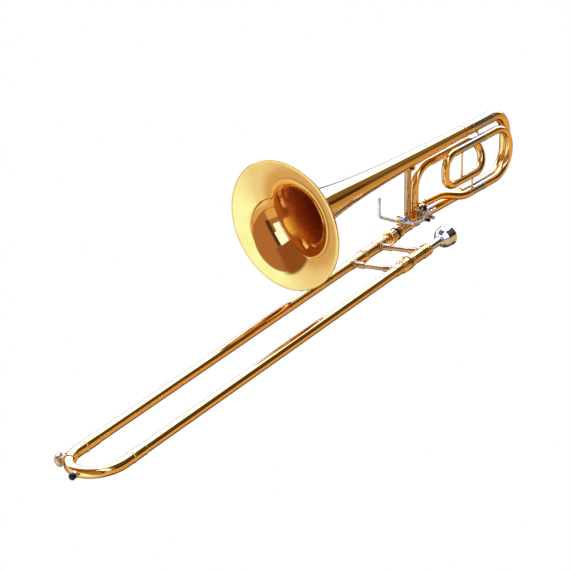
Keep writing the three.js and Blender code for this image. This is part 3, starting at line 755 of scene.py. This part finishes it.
barrel = aimed(lathe([
    (-VALVE_HALF, 13.8), (-VALVE_HALF, 16.4), (-VALVE_HALF + 1.6, 16.4), (-VALVE_HALF + 2.2, VALVE_RADIUS),
    (VALVE_HALF - 2.2, VALVE_RADIUS), (VALVE_HALF - 1.6, 16.4), (VALVE_HALF, 16.4), (VALVE_HALF, 13.8),
], 0.4, FINE_SIDES), on_valve(0, 0, 0), ACROSS)
make("valve_body", "instrument", "lacquered_brass", [
    barrel,
    port((-1, 0, 0), (0, 0, -SECTION_HEIGHT - VALVE_Z), 8.1, 7, 5),
    port((1, 0, 0), (0, 0, RECEIVER_Z - VALVE_Z), 8.1, 7, 5),
    port((-1, 0, 0), (0, 2, 10), 7.2, 6.1, 3),
    port(UP, (F_RISER_X - VALVE_X, 0, 0), 7.2, 6.1, 5),
], stands_for=("valve_casing",))


def cap_flutes(x, radius, angle):
    """Waves round the cap's outer flange."""
    return 0.25 * math.cos(24 * angle) if 13.1 < radius < 16.7 and x < -VALVE_HALF - 0.4 else 0


make("valve_end_cap", "instrument", "lacquered_brass", aimed(lathe(shifted(-VALVE_HALF, [
    (-7, 2.9), (-7, 7), (-5.6, 7.6), (-5, 11.4), (-4.2, 12.4), (-0.8, 13.2), (-0.6, 16.6), (-0.25, 16.6),
    (-0.25, 13.4), (2, 13.4), (2, 2.9),
]), 0.35, 72, cap_flutes), on_valve(0, 0, 0), ACROSS), stands_for=("valve_cap",))
paint("valve_bearing_plate", "nickel_silver")
paint("valve_rotor", "nickel_silver")

# The stop plate, its two rubber stops and the spring's post.
plate_start = VALVE_HALF + 2.3
plate_end = plate_start + 2


def around_rotor(angle, radius, y):
    return on_valve(radius * math.cos(math.radians(angle)), y, radius * math.sin(math.radians(angle)))


def screw_head(radius, height, slot_width=0.7):
    """A cheese head with a sawn slot, its top towards +X."""
    head = lathe([(0, 0), (0, radius), (height, radius), (height, 0)], 0.35, 32)
    slot = block((0.5, 2 * radius * 0.78, slot_width), (height + 0.05, 0, 0), 0.12)
    return [head, slot]


stop_angles = (ARM_REST - STOP_SPREAD, ARM_REST + 90 + STOP_SPREAD)
plate_disc = aimed(lathe([(plate_start, 2.7), (plate_start, 12), (plate_end, 12), (plate_end, 2.7)], 0.4,
                         RING_SIDES), on_valve(0, 0, 0), ACROSS)
ear = lathe([(plate_start, 0), (plate_start, 4.2), (plate_end, 4.2), (plate_end, 0)], 0.4)
plate_ears = [aimed(ear, around_rotor(angle, ARM_RADIUS, 0), ACROSS) for angle in stop_angles]
spring_angle = 212
spring_place = around_rotor(spring_angle, 22.5, 0)
spring_web = block((10.5, 1.9, 6), around_rotor(spring_angle, 16.5, plate_start + 1), 0.5, spring_angle)
spring_seat = aimed(ear, spring_place, ACROSS)
plate_screws = [aimed(shell, around_rotor(angle, 9.4, plate_end - 0.05), ACROSS)
                for angle in (60, 180, 300) for shell in screw_head(1.3, 0.7)]
make("stop_plate_assembly", "instrument", "nickel_silver",
     [plate_disc, *plate_ears, spring_web, spring_seat, *plate_screws], stands_for=("stop_plate",))
for level, angle in zip(("upper", "lower"), stop_angles):
    make(f"{level}_rubber_stop", "instrument", "rubber", aimed(lathe([
        (plate_end + 0.3, 0), (plate_end + 0.3, 3), (22.6, 3), (23, 2.2), (23, 0)], 0.6),
        around_rotor(angle, ARM_RADIUS, 0), ACROSS), stands_for=(f"{level}_stop_bumper",))
make("spring_knob", "instrument", "steel", aimed(lathe([
    (plate_end + 0.3, 0), (plate_end + 0.3, 2.2), (plate_end + 1.6, 2.2), (plate_end + 2.4, 3.2), (21.4, 3.2),
    (22.5, 2.3), (22.5, 0)], 0.6), spring_place, ACROSS), stands_for=("spring_post",))

# The arm on the rotor's spindle, with the pin that the lever's fork holds.
arm_start, arm_end, pin_end = 15.6, 20, 29
arm_hub = aimed(lathe([
    (arm_start, 2.7), (arm_start, 8.5), (arm_end - 1, 8.5), (arm_end, 7.2), (arm_end, 2.7)], 0.5, RING_SIDES),
    on_valve(0, 0, 0), ACROSS)
arm_bar = block((11, arm_end - arm_start - 1, 5), around_rotor(ARM_REST, 7.8, (arm_start + arm_end) / 2), 1,
                ARM_REST)
pin_place = around_rotor(ARM_REST, ARM_RADIUS, 0)
arm_eye = aimed(lathe([
    (arm_start + 0.5, 0), (arm_start + 0.5, 3.1), (arm_end - 0.5, 3.1), (arm_end - 0.5, 0)], 0.5),
    pin_place, ACROSS)
arm_pin = aimed(lathe([
    (arm_start + 1, 0), (arm_start + 1, 1.8), (pin_end - 0.6, 1.8), (pin_end, 1.2), (pin_end, 0)], 0.4),
    pin_place, ACROSS)
spindle_screw = [aimed(shell, on_valve(0, arm_end - 0.1, 0), ACROSS) for shell in screw_head(3.6, 1.2, 1)]
make("rotor_arm", "valve_rotor", "nickel_silver", [arm_hub, arm_bar, arm_eye, arm_pin, *spindle_screw],
     stands_for=("stop_arm",))

# ---- thumb lever ----
fork_x, fork_y, fork_z = around_rotor(ARM_REST, ARM_RADIUS, pin_end - 4)
lever_line = Route([
    (-242, 0, -39), (-242, 0, -74), (-286, 0, -98), (HINGE_X, 5, HINGE_Z - 7), (-311, 18, -107),
    (-328, 25, -106), (fork_x + 8, fork_y, fork_z - 3),
], 13)
prong_gap, prong_thick = 3.0, 2.2
prongs = [block((24, 3.4, prong_thick), (fork_x, fork_y, fork_z + side * (prong_gap + prong_thick / 2)), 0.5)
          for side in (-1, 1)]
fork_back = block((4, 3, 2 * prong_gap + prong_thick), (fork_x + 9.8, fork_y, fork_z), 0.5)
lever_collar = aimed(lathe([
    (0.8, 2), (0.8, 4.6), (2.4, 4.6), (2.9, 4.1), (6.9, 4.1), (7.4, 4.6), (9, 4.6), (9, 2)], 0.3),
    (HINGE_X, 0, HINGE_Z), ACROSS)
lever_web = block((3, 3.4, 4), (HINGE_X, 5, HINGE_Z - 4.6), 0.8)
make("lever_wire", "thumb_lever", "silver_plate",
     [wire(lever_line, lambda share: 2.5 - 0.4 * share), *prongs, fork_back, lever_collar, lever_web],
     stands_for=("thumb_lever",))
saddle_foot = seated(rounded([(-0.2, 0), (-0.2, 5.6), (0.9, 5.6), (1.6, 4.2), (6, 3.9), (6, 0)], 0.5),
                     ACROSS, 9.5, fade=3, sides=SIDES, stretch=1.2)
make("lever_bracket", "instrument", "lacquered_brass", [
    aimed(saddle_foot, (HINGE_X, -2.4, -118.5 + 9.3), UP),
    block((7.4, 6.8, 12), (HINGE_X, -3, HINGE_Z - 6.4), 1.2),
    aimed(lathe([(-6.4, 2.1), (-6.4, 4.4), (0.4, 4.4), (0.4, 2.1)], 0.6), (HINGE_X, 0, HINGE_Z),
          ACROSS),
], stands_for=("lever_saddle",))
make("lever_screw", "instrument", "steel", [
    aimed(lathe([(-8, 0), (-8, 1.7), (9.5, 1.7), (9.5, 0)], 0.3), (HINGE_X, 0, HINGE_Z), ACROSS),
    *[aimed(shell, (HINGE_X, 9.3, HINGE_Z), ACROSS) for shell in screw_head(3.3, 1.6, 0.9)],
], stands_for=("lever_pin",))

# ---- hand slide ----
far_at, near_at = (0, FAR, 0), (0, NEAR, 0)


def slide_piece(name, body, slot, shells, *stands_for, material=None):
    return make(name, body, slot, shells, SLIDE, stands_for, material)


for side, origin in (("far", far_at), ("near", near_at)):
    slide_piece(f"{side}_inside_slide", "instrument", "nickel_silver",
                aimed(tube(104, 665, 6.95, 6.4), origin), f"{side}_inner_tube")
    slide_piece(f"{side}_stocking_end", "instrument", "nickel_silver", aimed(lathe([
        (665.3, 6.4), (665.3, 7.0), (668, 7.2), (795, 7.2), (795, 6.4)], 0.25), origin), f"{side}_stocking")

slide_piece("bell_receiver", "instrument", "lacquered_brass", lathe([
    (9.6, 7), (9.6, 9.2), (12, 9.2), (12.6, 8.6), (35, 8.6), (36.2, 9.6), (38.5, 9.9), (39.2, 9.2),
    (41.4, 9.2), (42, 9.8), (44.5, 9.8), (44.5, 7)], 0.35, RING_SIDES), "slide_receiver")
slide_piece("bell_nut", "bell_lock", "lacquered_brass", lathe([
    (46, 8.4), (46, 9.5), (47, 10.6), (49.4, 10.8), (50, 10.1), (58.4, 10.1), (59.2, 11.6), (61, 12.2),
    (69.6, 12.2), (71, 11.2), (71, 8.4)], 0.3, FINE_SIDES, knurl(20, 0.55, lambda x, radius: radius > 11.4)),
    "bell_lock_nut")
# A black rubber ring on the nut: painted shade, a dark band standing for the shade in the gap there.
slide_piece("lock_nut_shade_ring", "bell_lock", "rubber", lathe([
    (48.8, 9.6), (48.8, 10.7), (49.6, 11.1), (52.4, 11.1), (53.2, 10.7), (53.2, 9.6)], 0.25, RING_SIDES))
slide_piece("far_slide_barrel", "instrument", "lacquered_brass", lathe([
    (47, 7.25), (47, 8), (79, 8), (81.5, 8.4), (84, 9.4), (86, 10.2), (88.5, 10.2), (89.2, 9.6), (136, 9.6),
    (136.6, 10.3), (140, 10.3), (140, 7.25)], 0.4, RING_SIDES), "far_cork_barrel")
slide_piece("near_slide_barrel", "instrument", "lacquered_brass", aimed(lathe([
    (83, 7.25), (83, 8.6), (85.5, 9.2), (87, 10.2), (90, 10.2), (90.8, 9.6), (133.6, 9.6), (134.2, 10.4),
    (136.2, 10.4), (136.8, 9.7), (138.2, 9.7), (138.6, 10.4), (140, 10.4), (140, 7.25)], 0.35, RING_SIDES),
    near_at), "mouthpiece_receiver")


def cross_brace(level, body, x, bar, socket, collar, tube_radius, stood_for):
    """A bar between the two legs, held in a socket at each, with a soldered collar
    round the leg. The bar is a darker copy of the brass: painted shade."""
    start, end = x - 7, x + 7
    collar_profile = [
        (start, tube_radius + 0.3), (start, collar - 0.5), (start + 1.6, collar), (end - 1.6, collar),
        (end, collar - 0.5), (end, tube_radius + 0.3),
    ]
    slide_piece(f"{level}_brace_collars", body, "lacquered_brass",
                [aimed(lathe(collar_profile, 0.4, RING_SIDES), origin) for origin in (far_at, near_at)])
    leg = (ALONG, collar - 0.2)
    slide_piece(f"{level}_cross_brace", body, "lacquered_brass",
                stay((x, FAR, 0), (x, NEAR, 0), leg, leg, bar, socket + 1.2, (16, socket)), stood_for,
                material=MATERIALS["shaded_brass"])


cross_brace("upper", "instrument", 101, 4.1, 5.6, 10.5, 9.6, "inner_slide_brace")
cross_brace("lower", "hand_slide", 176, 3.9, 5.3, 9.2, 8.1, "hand_slide_brace")

lock_knob = aimed(lathe([
    (9.5, 0), (9.5, 1.7), (12.6, 1.7), (13.2, 2.6), (15.4, 2.6), (16, 1.8), (16, 0)], 0.4),
    (153.5, NEAR, 0), UP)
slide_piece("lock_ring", "slide_lock", "lacquered_brass", [aimed(lathe([
    (141, 7.25), (141, 10.4), (142, 11.3), (144.2, 11.3), (145, 9.4), (147.6, 9.4), (148.4, 11.4),
    (156.6, 11.4), (158, 10.6), (158, 7.25)], 0.35, FINE_SIDES,
    knurl(24, 0.35, lambda x, radius: radius > 11 and 149 < x < 156)), near_at), lock_knob],
    "slide_lock_ring")
# A black rubber ring in the lock ring's groove: painted shade, a dark band standing for the shade in the gap
# there.
slide_piece("lock_ring_shade_ring", "slide_lock", "rubber", aimed(lathe([
    (144.2, 9.2), (144.2, 10.7), (145, 11), (147.8, 11), (148.4, 10.7), (148.4, 9.2)], 0.25, RING_SIDES),
    near_at))

for side, origin, start in (("far", far_at, 141), ("near", near_at, 158.4)):
    beads = shifted(start, [
        (0, 7.55), (0, 10.3), (0.8, 11.2), (2.6, 11.2), (3.2, 10.3), (4.2, 10.3), (4.8, 11), (6, 11),
        (7.4, 9.6)])
    slide_piece(f"{side}_grip_ferrule", "hand_slide", "lacquered_brass",
                aimed(lathe([*beads, (167.7, 9), (167.7, 7.55)], 0.3, RING_SIDES), origin),
                f"{side}_handle_ferrule")
    slide_piece(f"{side}_slide_tube", "hand_slide", "lacquered_brass",
                aimed(tube(168, 806, 8.1, 7.55, RING_SIDES), origin), f"{side}_outer_tube")
    slide_piece(f"{side}_bow_ferrule", "hand_slide", "lacquered_brass", aimed(lathe([
        (806.3, 7.55), (806.3, 8.5), (807, 8.9), (809, 9.0), (809.8, 8.8), (830, 8.8), (830.8, 9.4),
        (833, 9.4), (834, 8.8), (834, 7.55)], 0.3, RING_SIDES), origin), f"{side}_bow_sleeve")

bend = (NEAR - FAR) / 2
bow_start = 834.3
bow_line = Route([(bow_start, FAR, 0), (BOW_CENTRE + bend, FAR, 0), (BOW_CENTRE + bend, NEAR, 0),
                  (bow_start, NEAR, 0)], bend - 0.01)
slide_piece("slide_crook", "hand_slide", "lacquered_brass",
            pipe(bow_line, BOW_RADIUS, 7.4, RING_SIDES, 3), "slide_bow")

# The water key: a banded nipple on the outside of the bow, with a sprung cap whose stem goes into it.
key_place = Matrix.Translation((BOW_CENTRE, bend, 0)) @ Matrix.Rotation(math.radians(WATER_KEY_ANGLE), 4, "Z")
key_frame = SLIDE @ key_place
key_station = BOW_CENTRE - bow_start + bend * math.radians(90 + WATER_KEY_ANGLE)
band = bent(lathe(shifted(key_station, [
    (-6.4, 8.65), (-6.4, 9.5), (-5.9, 10), (-4.9, 10), (-4.4, 9.2), (-3.4, 9), (3.4, 9), (4.4, 9.2),
    (4.9, 10), (5.9, 10), (6.4, 9.5), (6.4, 8.65)]), 0.25, RING_SIDES), bow_line)
nipple = aimed(seated(rounded([
    (-0.2, 4.5), (-0.2, 6.8), (0.6, 6.4), (1.1, 5.5), (1.6, 5.5), (1.9, 5.1), (1.9, 4.5)], 0.2),
    ACROSS, BOW_RADIUS, fade=1.6, sides=SIDES), (bend + BOW_RADIUS, 0, 0))
make("water_key_seat", "hand_slide", "lacquered_brass", [band, moved(nipple, key_place)], SLIDE,
     ("water_key_band",))
make("water_key_button", "water_key", "nickel_silver", lathe(shifted(bend + 12.5, [
    (-1.6, 0), (-1.6, 4), (0, 4), (0, 9.4), (0.6, 10.3), (1.8, 10.3), (2.3, 9.5), (3, 9.5), (3.5, 10),
    (4.6, 9.6), (6.6, 8.3), (8.6, 5.6), (9.6, 2.4), (9.8, 0)]), 0.5, RING_SIDES),
    key_frame, ("water_key_cap",), MATERIALS["warm_nickel"])

bumper_start = bend + BOW_RADIUS + 0.3
bumper_frame = SLIDE @ Matrix.Translation((BOW_CENTRE, bend, 0))
make("bumper_socket", "hand_slide", "lacquered_brass", lathe(shifted(bumper_start, [
    (-0.9, 0), (-0.9, 5.4), (1.2, 5.2), (1.8, 4.8), (2.4, 5.3), (3, 5.3), (3, 0)]), 0.4),
    bumper_frame, ("bumper_holder",))
make("bumper_tip", "hand_slide", "rubber", lathe(shifted(bumper_start, [
    (3.3, 0), (3.3, 4.8), (5.5, 5.3), (8.2, 5.2), (10, 3.8), (10.5, 2), (10.5, 0)]), 0.9),
    bumper_frame, ("rubber_bumper",))

# ---- mouthpiece ----
slide_piece("mouthpiece_silver", "mouthpiece", "silver_plate", aimed(lathe([
    (26.4, 14.2), (26, 15.4), (26.1, 16.6), (26.8, 17.8), (28.2, 18.5), (29.8, 18.4), (31, 17.9), (33, 17.6),
    (40, 17.1), (44.2, 16), (47.2, 13.7), (49.6, 11.4), (52, 9.6), (53.2, 9.3), (54, 8.9), (55, 7.6),
    (57, 7.1), (82, 6.3), (100, 5.9), (100, 4.6), (62, 3.2), (54, 3.2), (50, 5), (46, 9), (42, 11),
    (36, 12.2), (29, 13),
], 0.5, FINE_SIDES), near_at), "mouthpiece")


# ---- studio ----
def studio_sky():
    """Soft panels round the instrument, as a world: each is a patch of directions with a soft edge."""
    world = bpy.data.worlds.new("studio")
    bpy.context.scene.world = world
    world.use_nodes = True
    tree = world.node_tree
    link = tree.links.new
    tree.nodes.clear()
    ray = node(tree, "ShaderNodeTexCoord", (-1400, 0)).outputs["Generated"]
    unit = node(tree, "ShaderNodeVectorMath", (-1200, 0), operation="NORMALIZE")
    link(ray, unit.inputs[0])
    unit = unit.outputs["Vector"]
    flat = node(tree, "ShaderNodeVectorMath", (-1200, -200), operation="MULTIPLY")
    flat.inputs[1].default_value = (0, 1, 1)
    link(unit, flat.inputs[0])
    level = node(tree, "ShaderNodeVectorMath", (-1000, -200), operation="NORMALIZE")
    link(flat.outputs["Vector"], level.inputs[0])
    level = level.outputs["Vector"]
    split = node(tree, "ShaderNodeSeparateXYZ", (-1200, -400))
    link(unit, split.inputs[0])
    along = split.outputs["X"]

    def eased(value, low, high):
        share = ranged(tree, value, 0, 1, (-800, 0), (low, high))
        share.node.interpolation_type = "SMOOTHSTEP"
        return share

    def patch(towards, half, soft):
        """1 within half degrees of a direction round the instrument, 0 beyond, with a soft edge."""
        near = node(tree, "ShaderNodeVectorMath", (-1000, 200), operation="DOT_PRODUCT")
        near.inputs[1].default_value = Vector(towards).normalized()
        link(level, near.inputs[0])
        return eased(near.outputs["Value"], math.cos(math.radians(half + soft)),
                     math.cos(math.radians(max(half - soft, 0))))

    def times(first, second):
        made = node(tree, "ShaderNodeMath", (-600, 0), operation="MULTIPLY")
        link(first, made.inputs[0])
        link(second, made.inputs[1])
        return made.outputs["Value"]

    def panel(angles, reach, soft, ease):
        """A panel bent round the instrument's length. Its angles run from +Y up to +Z, and its
        reach is how far its directions point along X. The edges are soft degrees and ease wide."""
        start, end = angles
        middle = math.radians((start + end) / 2)
        share = patch((0, math.cos(middle), math.sin(middle)), (end - start) / 2, soft)
        low, high = reach
        if low > -1:
            share = times(share, eased(along, low - ease, low + ease))
        if high < 1:
            share = times(share, eased(along, high + ease, high - ease))
        return share

    colour = node(tree, "ShaderNodeRGB", (-400, 0))
    colour.outputs[0].default_value = (0.45, 0.36, 0.26, 1)
    colour = colour.outputs[0]
    for angles, reach, soft, ease, light in (
        # the pale table in front of the bell, brighter the nearer it lies to the bell's axis
        ((-206, -32), (0.10, 1), 4, 0.08, (0.72, 0.60, 0.42)),
        ((-206, -50), (0.42, 1), 8, 0.16, (0.93, 1.08, 1.20)),
        ((-206, -56), (0.74, 1), 8, 0.13, (1.06, 1.65, 2.20)),
        # the brown wall over it, with a window and the dark reveal above the window
        ((-31, 160), (0.16, 1), 2.5, 0.03, (0.45, 0.24, 0.15)),
        ((86, 166), (0.14, 0.80), 4, 0.06, (0.29, 0.12, 0.065)),
        ((-6, 84), (0.60, 0.72), 5, 0.025, (0.08, 0.045, 0.03)),
        ((-34, -4), (0.12, 0.60), 3, 0.04, (0.78, 0.60, 0.38)),
        ((14, 80), (0.29, 0.52), 1.5, 0.015, (1.25, 1.80, 3.60)),
        ((40, 86), (0.29, 0.61), 1.5, 0.015, (1.25, 1.80, 3.60)),
        # behind the instrument: the big soft light overhead, a dark room, a warm low light
        ((172, 224), (-1, 0.06), 8, 0.1, (0.16, 0.15, 0.14)),
        ((81, 172), (-1, 0.14), 5, 0.08, (2.40, 3.10, 5.60)),
        ((36, 78), (-0.78, 0.12), 9, 0.05, (0.11, 0.095, 0.06)),
        ((4, 36), (-0.78, 0.12), 9, 0.05, (0.035, 0.025, 0.02)),
        ((34, 76), (-1, -0.78), 7, 0.04, (0.24, 0.155, 0.075)),
        ((4, 34), (-1, -0.78), 7, 0.04, (0.06, 0.04, 0.025)),
        ((-62, 2), (-0.78, 0.12), 3, 0.05, (0.80, 0.50, 0.20)),
        ((-84, -30), (-1, -0.78), 5, 0.04, (0.72, 0.50, 0.24)),
        ((-30, 4), (-1, -0.76), 5, 0.03, (0.55, 0.36, 0.17)),
        ((-148, -64), (-0.86, 0.0), 7, 0.06, (0.20, 0.14, 0.11)),
        ((-110, -68), (-0.76, 0.0), 8, 0.06, (0.12, 0.06, 0.03)),
    ):
        colour = blended(tree, panel(angles, reach, soft, ease), colour, light, (-300, 0))
    seen = node(tree, "ShaderNodeLightPath", (-600, 400)).outputs["Is Camera Ray"]
    colour = blended(tree, seen, colour, (1.0, 1.0, 1.0), (-200, 200))
    sky = node(tree, "ShaderNodeBackground", (0, 0))
    link(colour, sky.inputs["Color"])
    out = node(tree, "ShaderNodeOutputWorld", (200, 0))
    link(sky.outputs["Background"], out.inputs["Surface"])


def pale_floor():
    """A plain pale floor under the instrument, seen from above only."""
    reach = 14
    height = cad_box[0].z - 0.25
    mesh = bpy.data.meshes.new("floor")
    corners = [(-reach, -reach), (reach, -reach), (reach, reach), (-reach, reach)]
    mesh.from_pydata([(x, y, height) for x, y in corners], [], [(0, 1, 2, 3)])
    floor = linked("floor", mesh)
    material = bpy.data.materials.new("pale_floor")
    material.use_nodes = True
    tree = material.node_tree
    link = tree.links.new
    tree.nodes.clear()
    out = node(tree, "ShaderNodeOutputMaterial", (400, 0))
    mixer = node(tree, "ShaderNodeMixShader", (200, 0))
    glow = node(tree, "ShaderNodeEmission", (0, 100))
    clear = node(tree, "ShaderNodeBsdfTransparent", (0, -100))
    below = node(tree, "ShaderNodeNewGeometry", (0, 300)).outputs["Backfacing"]
    link(below, mixer.inputs[0])
    link(glow.outputs[0], mixer.inputs[1])
    link(clear.outputs[0], mixer.inputs[2])
    link(mixer.outputs[0], out.inputs["Surface"])
    mesh.materials.append(material)
    floor.visible_glossy = False


def photo_camera():
    """The photograph's view: in front of the bell, to its side and above, with a long lens."""
    data = bpy.data.cameras.new("camera")
    data.lens = CAMERA_LENS
    data.sensor_width = 36
    data.clip_end = 60
    camera = linked("camera", data)
    bearing, elevation, roll = (math.radians(a) for a in CAMERA_ANGLES)
    back = Vector((math.cos(bearing) * math.cos(elevation), math.sin(bearing) * math.cos(elevation),
                   math.sin(elevation)))
    level_right = Vector(UP).cross(back).normalized()
    level_up = back.cross(level_right)
    right = level_right * math.cos(roll) - level_up * math.sin(roll)
    up = back.cross(right)
    turn = Matrix((right, up, back)).transposed().to_4x4()
    camera.matrix_world = Matrix.Translation(CAMERA_PLACE) @ turn
    bpy.context.scene.camera = camera


studio_sky()
pale_floor()
photo_camera()
bpy.context.scene.view_settings.view_transform = "Standard"
